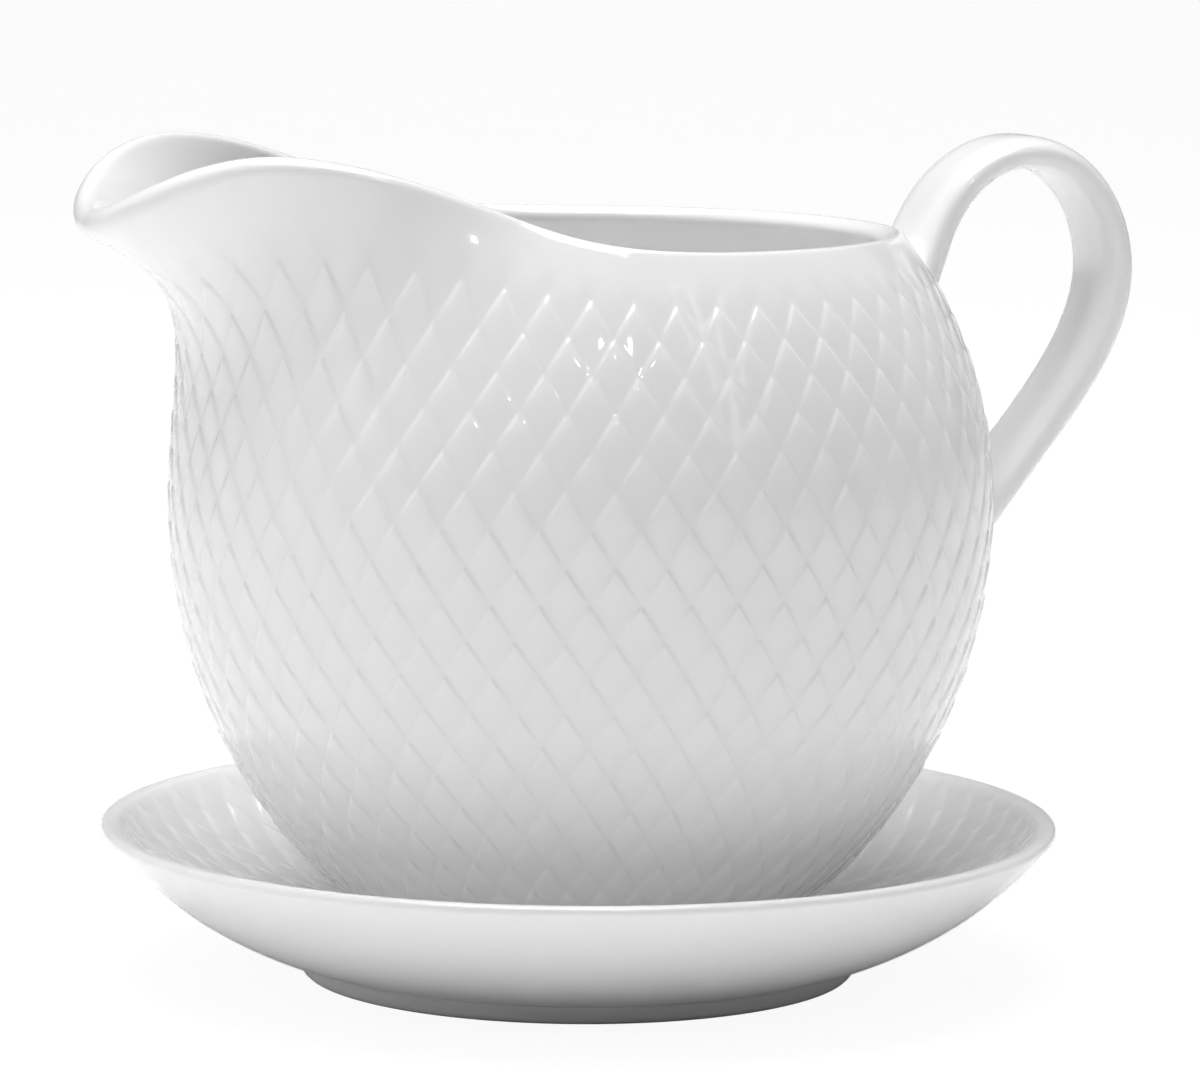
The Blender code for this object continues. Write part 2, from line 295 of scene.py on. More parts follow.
# ------------------------------------------------------------------ petal relief
# width of the steep edge and fullness of the face, in petals; places of the grid lines within a petal; and
# how much the tips stand out over the edges
EDGE = 0.13
FULLNESS = 1.7
SPACING = np.array([0.0, 0.045, 0.09, 0.15, 0.27, 0.44, 0.64, 0.84])
STEPS = len(SPACING)
TIP_SHARE = 0.8


def petal_height(place):
    """Height of the relief along one diagonal, 1 on the edge of a petal and 0 in the valley just above it:
    a smooth fall over the first share EDGE, then a swell of 1 less (1-y) to the power FULLNESS."""
    share = place - np.floor(place)
    rise = np.clip((share - EDGE) / (1 - EDGE), 0.0, 1.0)
    swell = 1 - (1 - rise) ** FULLNESS
    return np.where(share < EDGE, 1 - soft_step(0.0, EDGE, share), swell)


def spaced(index):
    """Place along a diagonal for a grid line: whole petals plus the spacing that crowds lines at the edges."""
    return np.floor_divide(index, STEPS) + SPACING[np.mod(index, STEPS)]


def petal_lattice(petals, first_row, last_row, crowd, walked_down=False):
    """Grid of petal coordinates. Lines run along the two diagonals of the petals, so that edges lie on them.

    For column J and row V the two diagonal places are p = line(J + V) and q = line(J), or p = line(J) and
    q = line(J - V) when the rows are walked from the top down. Across the surface a point is at (p + q) / 2
    petals, and up the surface at p - q rows, with the first ring of tips at 0. The relief height is partly
    the mean and partly the product of the heights along the two diagonals, so that it is greatest at the tips.
    Returns those two, and the relief height from 0 to 1, each as (row, column)."""
    row = np.arange(first_row, last_row + 1)[:, None]
    column = np.arange(petals * STEPS)[None, :]
    share = crowd(row / STEPS)
    rising, falling = (column, row - column) if walked_down else (row + column, -column)
    p = (1 - share) * rising / STEPS + share * spaced(rising)
    q = -(1 - share) * falling / STEPS - share * spaced(falling)
    one_way, other_way = petal_height(p), petal_height(-q)
    mean = (one_way + other_way) / 2
    height = mean + TIP_SHARE * (one_way * other_way - mean)
    return (p + q) / 2, p - q, height


# ------------------------------------------------------------------ meshes
def closed_skin(name, rows, materials, row_slots, relief=None):
    """Makes one closed mesh from a grid of points (row, column, xyz) with a pole at each end.

    The columns run round and meet themselves. Each square of the grid is two triangles that share the
    diagonal from its lower right to its upper left corner. The first and last rows shrink to one point."""
    count, columns, _ = rows.shape
    inner = rows[1:-1].reshape(-1, 3)
    points = np.concatenate([rows[:1, 0], inner, rows[-1:, 0]])
    index = 1 + np.arange((count - 2) * columns).reshape(count - 2, columns)
    onward = np.roll(index, -1, axis=1)
    first = np.stack([index[:-1], onward[:-1], index[1:]], -1)
    second = np.stack([index[1:], onward[:-1], onward[1:]], -1)
    sides = np.stack([first, second], 2).reshape(-1, 3)
    bottom = np.stack([index[0], np.zeros(columns, int), onward[0]], -1)
    top = np.stack([index[-1], onward[-1], np.full(columns, len(points) - 1)], -1)
    faces = np.concatenate([bottom, sides, top])
    slots = np.concatenate([
        np.full(columns, row_slots[0]),
        np.repeat(row_slots[1:-1], 2 * columns),
        np.full(columns, row_slots[-1]),
    ])
    mesh = bpy.data.meshes.new(name)
    mesh.vertices.add(len(points))
    mesh.vertices.foreach_set("co", points.astype(np.float32).ravel())
    mesh.loops.add(faces.size)
    mesh.loops.foreach_set("vertex_index", faces.astype(np.int32).ravel())
    mesh.polygons.add(len(faces))
    mesh.polygons.foreach_set("loop_start", np.arange(0, faces.size, 3, dtype=np.int32))
    mesh.polygons.foreach_set("material_index", slots.astype(np.int32))
    mesh.update(calc_edges=True)
    mesh.shade_smooth()
    if relief is not None:
        flat = np.concatenate([relief[:1, 0], relief[1:-1].ravel(), relief[-1:, 0]])
        hollow = mesh.attributes.new("hollow", "FLOAT", "POINT")
        hollow.data.foreach_set("value", flat.astype(np.float32))
    for material in materials:
        mesh.materials.append(material)
    if mesh.validate():
        raise RuntimeError(f"{name} has broken faces")
    piece = bpy.data.objects.new(name, mesh)
    bpy.context.scene.collection.objects.link(piece)
    return piece


def turned(profile, angles):
    """Points (row, column, xyz) of a profile (row, radius and height) turned round the upright axis; angles
    are (1, column) or (row, column), measured from the spout towards the front."""
    radius = profile[:, 0][:, None]
    height = profile[:, 1][:, None] + 0 * angles
    return np.stack([AXIS_X - radius * np.cos(angles), -radius * np.sin(angles), height], -1)


def foot_ring(foot, width, low, roof_z, lean):
    """Profile from the middle of an underside out over its roof, then down, under and up a foot ring whose
    outer side leans out a little."""
    inside = foot - width
    roof_end = inside - 0.0016
    return np.concatenate([
        np.array([(0.0, roof_z), (inside * 0.35, roof_z), (inside * 0.7, roof_z), (roof_end, roof_z)]),
        quarter((roof_end, roof_z), (inside, roof_z), (inside, roof_z - 0.0014), 3),
        quarter((inside, low + 0.0007), (inside, low), (inside + 0.0007, low), 3),
        quarter((foot - 0.0009, low), (foot, low), (foot + lean, low + 0.0010), 3),
    ])


def bare_rows(count):
    """Material of each strip between rows: 1 on the wiped bottom of the foot ring, otherwise 0."""
    bare = np.zeros(count - 1, int)
    bare[8:11] = 1
    return bare


# ------------------------------------------------------------------ jug
def body_radius(height):
    """Radius of the plain jug: an ellipse through the belly, a taller half below and a shorter one above."""
    rise = height - BELLY_Z
    reach = np.where(rise > 0, SHOULDER_RISE, BELLY_DROP)
    return BELLY_RADIUS * np.sqrt(np.clip(1 - (rise / reach) ** 2, 0.0, 1.0))


UPRIGHT = np.linspace(BASE_Z, RIM_Z, 4001)
CLIMB = along(np.stack([body_radius(UPRIGHT), UPRIGHT], -1))
SLOPE_LENGTH = float(CLIMB[-1])


def wall_point(angle, climbed):
    """Point on the jug's plain outer wall at an angle from the spout and a distance climbed from its base.

    The radius is the plain one plus a bell-shaped throw towards the spout and a small one on each side that
    blunts it, less a pinch further round; the height is the plain one plus a crest on each side of the spout,
    less a drop at its tip. Both grow with powers of the share climbed above the spout's root."""
    height = np.interp(climbed, CLIMB, UPRIGHT)
    side = np.abs(np.mod(angle + math.pi, 2 * math.pi) - math.pi)
    throw = SPOUT_REACH - float(body_radius(np.array(RIM_Z)))
    outward = throw * bell(side, 0.0, SPOUT_HALF_ANGLE) - PINCH_DEPTH * bell(side, PINCH_ANGLE, PINCH_SPREAD)
    outward = outward + SPOUT_BLUNT * bell(side, BLUNT_ANGLE, BLUNT_SPREAD)
    spread = np.where(side > CREST_ANGLE, CREST_SPREAD_OUTER, CREST_SPREAD_INNER)
    upward = CREST_RISE * (bell(side, CREST_ANGLE, spread) + bell(side, -CREST_ANGLE, CREST_SPREAD_INNER))
    upward = upward - TIP_DROP * bell(side, 0.0, TIP_DROP_SPREAD)
    share = np.clip(1 - (RIM_Z - height) / SPOUT_ROOT, 0.0, 1.0)
    late = LATE_THROW_SHARE * share**LATE_THROW_POWER
    early = (1 - LATE_THROW_SHARE) * share**EARLY_THROW_POWER
    radius = body_radius(height) + outward * (late + early)
    return np.stack([
        AXIS_X - radius * np.cos(angle),
        -radius * np.sin(angle),
        height + upward * share**CREST_POWER,
    ], -1)


def wall_frame(angle, climbed):
    """The wall's point, its outward and upward directions, and how far the point moves for each step climbed,
    from small steps each way."""
    turn_step, climb_step = 1e-4, 1e-5
    here = wall_point(angle, climbed)
    round_way = wall_point(angle + turn_step, climbed) - wall_point(angle - turn_step, climbed)
    above = np.minimum(climbed + climb_step, SLOPE_LENGTH)
    below = np.maximum(climbed - climb_step, 0.0)
    up_way = wall_point(angle, above) - wall_point(angle, below)
    outward = np.cross(round_way, up_way)
    outward /= np.linalg.norm(outward, axis=-1, keepdims=True)
    distance = np.linalg.norm(up_way, axis=-1)
    return here, outward, up_way / distance[..., None], distance / (above - below)


def jug_rows(jug):
    """All rows of the jug's skin: under the base, over the foot ring, up the wall, over the lip, down the
    inside. Returns the points, the hollow of the relief and which rows are bare porcelain."""
    first_tips = SLOPE_LENGTH - jug.collar
    lowest = math.ceil((RELIEF_FOOT - first_tips) / jug.row_pitch * STEPS)
    highest = STEPS
    bottom_share = lowest / STEPS

    def strength(row):
        return soft_step(1.0, 0.1, row) * soft_step(bottom_share, bottom_share + RELIEF_FADE_ROWS, row)

    around, up, height = petal_lattice(jug.petals, lowest, highest, strength)
    angle = jug.turn + 2 * math.pi * around / jug.petals
    climbed = first_tips + jug.row_pitch * up
    hollow = strength(np.minimum(up, 1.0)) * (1 - height)
    here, outward, _, _ = wall_frame(angle, climbed)
    lift = jug.relief * (strength(np.minimum(up, 1.0)) / 2 - hollow)
    relief_rows = here + outward * lift[..., None]

    # smooth collar up to the lip
    top_angle = angle[-1:]
    _, _, _, stretch = wall_frame(top_angle, np.full_like(top_angle, SLOPE_LENGTH - 0.0002))
    tip = bell(np.mod(top_angle + math.pi, 2 * math.pi) - math.pi, 0.0, TIP_SPREAD)
    roll = jug.lip_roll * (1 + TIP_ROLL * tip)
    lip_start = SLOPE_LENGTH - roll / stretch
    collar_share = np.linspace(0, 1, 7)[1:, None]
    collar_climb = climbed[-1:] * (1 - collar_share) + lip_start * collar_share
    collar_rows = wall_point(top_angle + 0 * collar_climb, collar_climb)

    # lip: half an oval from the outer wall to the inner wall
    edge, edge_out, edge_up, _ = wall_frame(top_angle, lip_start)
    sweep = np.linspace(0, math.pi, 13)[1:, None, None]
    side_way = np.sign(np.cos(sweep)) * np.abs(np.cos(sweep)) ** LIP_SIDE_POWER
    over_way = np.abs(np.sin(sweep)) ** LIP_OVER_POWER
    half = (jug.wall / 2 * (1 + TIP_SWELL * tip))[..., None]
    lip_rows = edge - edge_out * half + edge_out * half * side_way + edge_up * roll[..., None] * over_way

    # inside wall, a wall's thickness in from the plain outer wall, then a bowl-shaped floor
    inner_share = np.linspace(0, 1, 27)[1:, None] ** 1.15
    inner_climb = lip_start * (1 - inner_share) + FLOOR_JOIN * inner_share
    inner_angle = top_angle + 0 * inner_climb
    inner_point, inner_out, _, _ = wall_frame(inner_angle, inner_climb)
    swell = 1 + TIP_SWELL * tip * (1 - inner_share) ** 3
    inner_rows = inner_point - inner_out * (jug.wall * swell)[..., None]
    join = inner_rows[-1, 0]
    join_radius = math.hypot(join[0] - AXIS_X, join[1])
    floor_z = BASE_Z + jug.wall
    floor_profile = quarter((join_radius, join[2]), (join_radius - FLOOR_BEND, floor_z), (0.0, floor_z), 8)
    floor_rows = turned(floor_profile, top_angle)

    # underside and foot ring, joined to the wall by a hollow curve
    low_angle = angle[:1]
    start = float(climbed[0, 0])
    start_z = float(np.interp(start, CLIMB, UPRIGHT))
    start_radius = float(body_radius(np.array(start_z)))
    foot = JUG_FOOT_RADIUS
    foot_profile = np.concatenate([
        foot_ring(foot, JUG_FOOT_WIDTH, JUG_FOOT_Z, BASE_Z - JUG_ROOF_LIFT, 0.0),
        quarter((foot, BASE_Z - 0.0012), (foot, BASE_Z + 0.0002), (start_radius, start_z), 5)[:-1],
    ])
    foot_rows = turned(foot_profile, low_angle)

    rows = np.concatenate([foot_rows, relief_rows, collar_rows, lip_rows, inner_rows, floor_rows])
    hollows = np.zeros(rows.shape[:2])
    hollows[len(foot_rows):len(foot_rows) + len(relief_rows)] = hollow
    return rows, hollows, bare_rows(len(rows))


# ------------------------------------------------------------------ saucer
def saucer_rows(saucer):
    """All rows of the saucer's skin: under the base, over the foot ring, up the underside, over the lip, down
    the slope with its petals and across the well."""
    well_edge = (WELL_RADIUS, WELL_FLOOR)
    slope_control = (SAUCER_FLARE[0] - 0.3 * SAUCER_WALL, SAUCER_FLARE[1] + 0.95 * SAUCER_WALL)
    slope_end = (SAUCER_RADIUS - 0.8 * SAUCER_WALL, SAUCER_HEIGHT - 0.0003)
    slope = bend(well_edge, slope_control, slope_end, 2001)
    length = along(slope)
    direction = np.gradient(slope, axis=0)
    direction /= np.linalg.norm(direction, axis=1, keepdims=True)
    inward_normal = np.stack([-direction[:, 1], direction[:, 0]], -1)

    first_tips = length[-1] - FIRST_RING_INSET
    lowest = math.ceil(-first_tips / saucer.row_pitch * STEPS) + 2
    highest = 1
    bottom_share = lowest / STEPS

    def strength(row):
        return soft_step(0.12, -0.15, row) * soft_step(bottom_share + 0.2, bottom_share + 1.4, row)

    around, up, height = petal_lattice(saucer.petals, lowest, highest, strength, walked_down=True)
    # the slope is walked from the lip down to the well, so the rows and the turning order are reversed
    around, up, height = around[::-1], up[::-1], height[::-1]
    angle = saucer.turn + 2 * math.pi * around / saucer.petals
    climbed = first_tips + saucer.row_pitch * up
    hollow = strength(np.minimum(up, 0.12)) * (1 - height)
    radius = np.interp(climbed, length, slope[:, 0])
    level = np.interp(climbed, length, slope[:, 1])
    lean_radius = np.interp(climbed, length, inward_normal[:, 0])
    lean_level = np.interp(climbed, length, inward_normal[:, 1])
    lift = saucer.relief * (strength(np.minimum(up, 0.12)) / 2 - hollow)
    radius = radius + lean_radius * lift
    level = level + lean_level * lift
    slope_rows = np.stack([AXIS_X - radius * np.cos(angle), -radius * np.sin(angle), level], -1)

    top_angle = angle[:1]
    edge = SAUCER_RADIUS
    crown = SAUCER_HEIGHT
    foot = SAUCER_FOOT_RADIUS
    rise_z = SAUCER_FOOT_HEIGHT
    underside = bend((foot + 0.0020, rise_z), SAUCER_FLARE, (edge - 0.0006, crown - 0.0018), 40)
    outside_profile = np.concatenate([
        foot_ring(foot, SAUCER_FOOT_WIDTH, 0.0, SAUCER_FOOT_HEIGHT - SAUCER_ROOF_LIFT, 0.0002),
        quarter((foot + 0.0003, 0.0018), (foot + 0.0005, rise_z), (foot + 0.0020, rise_z), 4)[:-1],
        underside,
        quarter((edge - 0.0006, crown - 0.0018), (edge, crown - 0.0012), (edge, crown - 0.0009), 3),
        quarter((edge, crown - 0.0009), (edge, crown), (edge - 0.0010, crown), 5),
        quarter((edge - 0.0010, crown), (edge - 0.0018, crown), slope_end, 4)[:-1],
    ])
    outside_rows = turned(outside_profile, top_angle)

    low_angle = angle[-1:]
    start = float(climbed[-1, 0])
    start_radius = float(np.interp(start, length, slope[:, 0]))
    start_level = float(np.interp(start, length, slope[:, 1]))
    well_corner = (WELL_RADIUS - WELL_BEND, WELL_FLOOR)
    well_rows = turned(quarter((start_radius, start_level), well_corner, (0.0, WELL_FLOOR), 13), low_angle)

    rows = np.concatenate([outside_rows, slope_rows, well_rows])
    hollows = np.zeros(rows.shape[:2])
    hollows[len(outside_rows):len(outside_rows) + len(slope_rows)] = hollow
    return rows, hollows, bare_rows(len(rows))


# ------------------------------------------------------------------ handle
def strap_path():
    """Line of the handle, in the upright plane through the spout: four knots joined by curves whose ends
    follow each knot's own direction."""
    top_z = HANDLE_TOP_Z - STRAP_HALF_DEPTH
    top_x = STRAP_TOP_X
    waist_z = RIM_Z - WAIST_DROP
    waist_x = HANDLE_REACH - STRAP_HALF_DEPTH
    upper_z = RIM_Z - UPPER_ROOT_DROP
    upper_x = float(body_radius(np.array(upper_z))) - UPPER_ROOT_DEPTH
    lower_z = RIM_Z - LOWER_ROOT_DROP
    lower_x = float(body_radius(np.array(lower_z))) - LOWER_ROOT_DEPTH
    knots = [
        ((upper_x, upper_z), None, (0.0, LONG_PULL * (top_z - upper_z))),
        ((top_x, top_z), (-TOP_PULL * (top_x - upper_x), 0.0), (LONG_PULL * (waist_x - top_x), 0.0)),
        ((waist_x, waist_z), (0.0, LONG_PULL * (top_z - waist_z)), (0.0, -WAIST_PULL * (waist_z - lower_z))),
        ((lower_x, lower_z), LOWER_ARRIVAL, None),
    ]
    t = np.linspace(0, 1, 161)[:, None]
    parts = []
    for (a, _, leave), (b, arrive, _) in zip(knots[:-1], knots[1:]):
        a, b = np.array(a), np.array(b)
        c, d = a + np.array(leave), b + np.array(arrive)
        part = (1 - t) ** 3 * a + 3 * t * (1 - t) ** 2 * c + 3 * t**2 * (1 - t) * d + t**3 * b
        parts.append(part if not parts else part[1:])
    return np.concatenate(parts)


def strap_section(handle, columns):
    """Outline of the strap: an oval with flattened sides, the cosine to the power 0.62 across and the sine to
    the power 0.86 through."""
    turn = np.arange(columns) * 2 * math.pi / columns
    across = np.sign(np.cos(turn)) * np.abs(np.cos(turn)) ** 0.62 * handle.width / 2
    through = np.sign(np.sin(turn)) * np.abs(np.sin(turn)) ** 0.86 * handle.thickness / 2
    return across, through


def onto_jug(ring, sink):
    """The ring's points moved straight in or out from the jug's axis onto its plain wall, then sunk."""
    level = ring[:, 2]
    offset = ring[:, :2] - np.array([AXIS_X, 0.0])
    radius = np.linalg.norm(offset, axis=1)
    wanted = body_radius(level) - sink
    flat = offset / radius[:, None] * wanted[:, None] + np.array([AXIS_X, 0.0])
    return np.column_stack([flat, level])


def root_rows(ring, ahead, centre, handle):
    """Rows that carry a strap's ring into the jug. Each point runs straight on until it meets the wall; the
    joint curves from a little before that place to a place on the wall a little outside it, then sinks."""
    reach = np.linspace(0, 0.030, 3001)[:, None, None]
    tries = ring[None] + reach * ahead
    distance = np.hypot(tries[..., 0] - AXIS_X, tries[..., 1])
    inside = distance < body_radius(tries[..., 2])
    hit = tries[np.argmax(inside, axis=0), np.arange(ring.shape[0])]
    aside = ring - centre
    aside = aside / np.linalg.norm(aside, axis=1, keepdims=True)
    before = hit - ahead * handle.fillet
    beyond = onto_jug(hit + aside * handle.fillet, 0.0004)
    t = np.linspace(0, 1, 7)[:, None, None]
    joint = (1 - t) ** 2 * before + 2 * t * (1 - t) * hit + t**2 * beyond
    sunk = onto_jug(hit, 0.0012)[None]
    middle = np.broadcast_to(sunk.mean(axis=1, keepdims=True), sunk.shape)
    return np.concatenate([joint, sunk, middle])


def handle_rows(handle):
    """All rows of the handle's skin: its section carried along the path, with a rounded root at each end."""
    columns = 72
    path = strap_path()
    length = along(path)
    stations = np.linspace(0.0075, length[-1] - 0.0062, 110)
    x = np.interp(stations, length, path[:, 0])
    z = np.interp(stations, length, path[:, 1])
    tangent = np.gradient(np.stack([x, z], -1), axis=0)
    tangent /= np.linalg.norm(tangent, axis=1, keepdims=True)
    share = stations / length[-1]
    grow = 1 + ROOT_GROWTH * (soft_step(0.22, 0.0, share) + soft_step(0.78, 1.0, share))
    across, through = strap_section(handle, columns)
    across = across[None] * grow[:, None]
    through = through[None] * grow[:, None]
    rows = np.stack([
        AXIS_X + x[:, None] - tangent[:, 1][:, None] * through,
        across,
        z[:, None] + tangent[:, 0][:, None] * through,
    ], -1)
    centre = np.stack([AXIS_X + x, 0 * x, z], -1)
    ahead = np.stack([tangent[:, 0], 0 * x, tangent[:, 1]], -1)
    upper = root_rows(rows[0], -ahead[0], centre[0], handle)[::-1]
    lower = root_rows(rows[-1], ahead[-1], centre[-1], handle)
    return np.concatenate([upper, rows[1:-1], lower])


# ------------------------------------------------------------------ finishes
def new_group(name, inputs, outputs):
    """An empty shader node group with named sockets; inputs are (name, kind, default)."""
    group = bpy.data.node_groups.new(name, "ShaderNodeTree")
    for label, kind, default in inputs:
        socket = group.interface.new_socket(name=label, in_out="INPUT", socket_type=kind)
        socket.default_value = default
    for label, kind in outputs:
        group.interface.new_socket(name=label, in_out="OUTPUT", socket_type=kind)
    return group, group.nodes.new("NodeGroupInput"), group.nodes.new("NodeGroupOutput")


def math_node(tree, operation, first, second, clamp=False):
    """A Math node; each side is a number or a socket."""
    node = tree.nodes.new("ShaderNodeMath")
    node.operation = operation
    node.use_clamp = clamp
    for place, value in enumerate((first, second)):
        if isinstance(value, bpy.types.NodeSocket):
            tree.links.new(value, node.inputs[place])
        else:
            node.inputs[place].default_value = value
    return node.outputs[0]


def mix_colour(tree, share, first, second):
    """A Mix node for two colours; each input is a value or a socket."""
    node = tree.nodes.new("ShaderNodeMix")
    node.data_type = "RGBA"
    for place, value in ((0, share), (6, first), (7, second)):
        if isinstance(value, bpy.types.NodeSocket):
            tree.links.new(value, node.inputs[place])
        else:
            node.inputs[place].default_value = value
    return node.outputs[2]


def noise(tree, vector, scale, detail):
    """A Noise Texture on a vector, its value."""
    node = tree.nodes.new("ShaderNodeTexNoise")
    tree.links.new(vector, node.inputs["Vector"])
    for label, value in (("Scale", scale), ("Detail", detail)):
        if isinstance(value, bpy.types.NodeSocket):
            tree.links.new(value, node.inputs[label])
        else:
            node.inputs[label].default_value = value
    return node.outputs["Fac"]


def glaze_pooling_and_shade_group():
    """Colour of a clear glaze over white porcelain: whiter on raised edges, greyer in the hollows, partly as
    glaze that lies thick there and partly as painted shade, with a faint cloud."""
    tree, into, out = new_group(
        "Glaze pooling",
        [
            ("Raised", "NodeSocketColor", (0.8, 0.8, 0.8, 1)),
            ("Pooled", "NodeSocketColor", (0.75, 0.75, 0.75, 1)),
            ("Hollow", "NodeSocketFloat", 0.0),
            ("Cloud size", "NodeSocketFloat", 60.0),
            ("Cloud amount", "NodeSocketFloat", 0.15),
        ],
        [("Colour", "NodeSocketColor"), ("Thickness", "NodeSocketFloat")],
    )
    place = tree.nodes.new("ShaderNodeTexCoord").outputs["Object"]
    cloud = noise(tree, place, into.outputs["Cloud size"], 3.0)
    swing = math_node(tree, "MULTIPLY", math_node(tree, "SUBTRACT", cloud, 0.5), into.outputs["Cloud amount"])
    # share of the greyer colour: the hollow, which stands for thick glaze and painted shade, plus the cloud
    thickness = math_node(tree, "ADD", into.outputs["Hollow"], swing, clamp=True)
    colour = mix_colour(tree, thickness, into.outputs["Raised"], into.outputs["Pooled"])
    tree.links.new(colour, out.inputs["Colour"])
    tree.links.new(thickness, out.inputs["Thickness"])
    return tree


def iron_speck_group():
    """Mask of the rare dark specks in a fired glaze: dots about a third of a millimetre across in the middle
    of a few of the cells of a coarse cell pattern."""
    tree, into, out = new_group(
        "Iron specks",
        [("Cells per metre", "NodeSocketFloat", 60.0), ("Speck size", "NodeSocketFloat", 0.012)],
        [("Speck", "NodeSocketFloat")],
    )
    place = tree.nodes.new("ShaderNodeTexCoord").outputs["Object"]
    cells = tree.nodes.new("ShaderNodeTexVoronoi")
    tree.links.new(place, cells.inputs["Vector"])
    tree.links.new(into.outputs["Cells per metre"], cells.inputs["Scale"])
    near = math_node(tree, "LESS_THAN", cells.outputs["Distance"], into.outputs["Speck size"])
    tree.links.new(near, out.inputs["Speck"])
    return tree


def glaze_ripple_group():
    """Height of the slow ripple that a fired glaze keeps, in two sizes."""
    tree, into, out = new_group(
        "Glaze ripple",
        [("Long waves", "NodeSocketFloat", 110.0), ("Short waves", "NodeSocketFloat", 620.0),
         ("Short share", "NodeSocketFloat", 0.12)],
        [("Height", "NodeSocketFloat"), ("Gloss change", "NodeSocketFloat")],
    )
    place = tree.nodes.new("ShaderNodeTexCoord").outputs["Object"]
    long_wave = noise(tree, place, into.outputs["Long waves"], 1.0)
    short_wave = noise(tree, place, into.outputs["Short waves"], 2.0)
    short = math_node(tree, "MULTIPLY", short_wave, into.outputs["Short share"])
    tree.links.new(math_node(tree, "ADD", long_wave, short), out.inputs["Height"])
    tree.links.new(math_node(tree, "SUBTRACT", short_wave, 0.5), out.inputs["Gloss change"])
    return tree


def kiln_grit_group():
    """Bare fired porcelain: fine grit height, and a colour that is dirtied in blotches."""
    tree, into, out = new_group(
        "Kiln grit",
        [
            ("Bare", "NodeSocketColor", (0.6, 0.6, 0.58, 1)),
            ("Stained", "NodeSocketColor", (0.5, 0.48, 0.45, 1)),
            ("Grains per metre", "NodeSocketFloat", 2600.0),
        ],
        [("Colour", "NodeSocketColor"), ("Height", "NodeSocketFloat")],
    )
    place = tree.nodes.new("ShaderNodeTexCoord").outputs["Object"]
    blotch = noise(tree, place, 240.0, 4.0)
    grain = noise(tree, place, into.outputs["Grains per metre"], 2.0)
    colour = mix_colour(tree, blotch, into.outputs["Bare"], into.outputs["Stained"])
    tree.links.new(colour, out.inputs["Colour"])
    tree.links.new(grain, out.inputs["Height"])
    return tree


GROUP_MAKERS = {
    "Glaze pooling": glaze_pooling_and_shade_group,
    "Iron specks": iron_speck_group,
    "Glaze ripple": glaze_ripple_group,
    "Kiln grit": kiln_grit_group,
}


def place_group(tree, name, values):
    """A group node in a material, with its own values; the group is made the first time it is asked for."""
    node = tree.nodes.new("ShaderNodeGroup")
    node.node_tree = bpy.data.node_groups.get(name) or GROUP_MAKERS[name]()
    for label, value in values.items():
        node.inputs[label].default_value = value
    return node


def plain_material(name):
    """A material with an empty node tree, its Principled shader and its output."""
    material = bpy.data.materials.new(name)
    material.use_nodes = True
    tree = material.node_tree
    tree.nodes.clear()
    shader = tree.nodes.new("ShaderNodeBsdfPrincipled")
    output = tree.nodes.new("ShaderNodeOutputMaterial")
    tree.links.new(shader.outputs[0], output.inputs["Surface"])
    return material, tree, shader


GLAZE_IOR = 1.58
SPECK_COLOUR = (0.20, 0.17, 0.14, 1)
GRIT_DEPTH = 0.00004


def glaze_material(name, glaze, cloud_size, cloud_amount, shade_and_pool_share, waves, wave_depth):
    """White glazed porcelain. The colour greys in the hollows of the relief, as pooled glaze and as painted
    shade; rare specks darken it, and a slow ripple bends its reflections."""
    material, tree, shader = plain_material(name)
    pool_and_shade = place_group(tree, "Glaze pooling", {
        "Raised": (*glaze.body, 1), "Pooled": (*glaze.pooled_and_shaded, 1),
        "Cloud size": cloud_size, "Cloud amount": cloud_amount})
    # the hollow of the relief greys the glaze: thick glaze there, and painted shade
    hollow = tree.nodes.new("ShaderNodeAttribute")
    hollow.attribute_name = "hollow"
    depth = math_node(tree, "MULTIPLY", hollow.outputs["Fac"], shade_and_pool_share)
    tree.links.new(depth, pool_and_shade.inputs["Hollow"])
    specks = place_group(tree, "Iron specks", {"Cells per metre": 34.0, "Speck size": 0.0085})
    colour = mix_colour(tree, specks.outputs["Speck"], pool_and_shade.outputs["Colour"], SPECK_COLOUR)
    tree.links.new(colour, shader.inputs["Base Color"])
    ripple = place_group(tree, "Glaze ripple", {"Long waves": waves})
    dull = math_node(tree, "MULTIPLY", ripple.outputs["Gloss change"], 0.05)
    tree.links.new(math_node(tree, "ADD", dull, glaze.gloss), shader.inputs["Roughness"])
    bump = tree.nodes.new("ShaderNodeBump")
    bump.inputs["Distance"].default_value = wave_depth
    tree.links.new(ripple.outputs["Height"], bump.inputs["Height"])
    tree.links.new(bump.outputs["Normal"], shader.inputs["Normal"])
    shader.inputs["IOR"].default_value = GLAZE_IOR
    return material


def bare_foot_material(name, glaze, grains):
    """The wiped foot ring: matt, slightly warm, gritty porcelain."""
    material, tree, shader = plain_material(name)
    stained = tuple(channel * 0.82 for channel in glaze.bisque)
    grit = place_group(tree, "Kiln grit", {
        "Bare": (*glaze.bisque, 1), "Stained": (*stained, 1), "Grains per metre": grains})
    tree.links.new(grit.outputs["Colour"], shader.inputs["Base Color"])
    bump = tree.nodes.new("ShaderNodeBump")
    bump.inputs["Distance"].default_value = GRIT_DEPTH
    tree.links.new(grit.outputs["Height"], bump.inputs["Height"])
    tree.links.new(bump.outputs["Normal"], shader.inputs["Normal"])
    shader.inputs["Roughness"].default_value = 0.72
    return material


# ------------------------------------------------------------------ operators
def put_in_frame(piece, body, node):
    """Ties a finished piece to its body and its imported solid."""
    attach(piece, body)
    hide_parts(node)


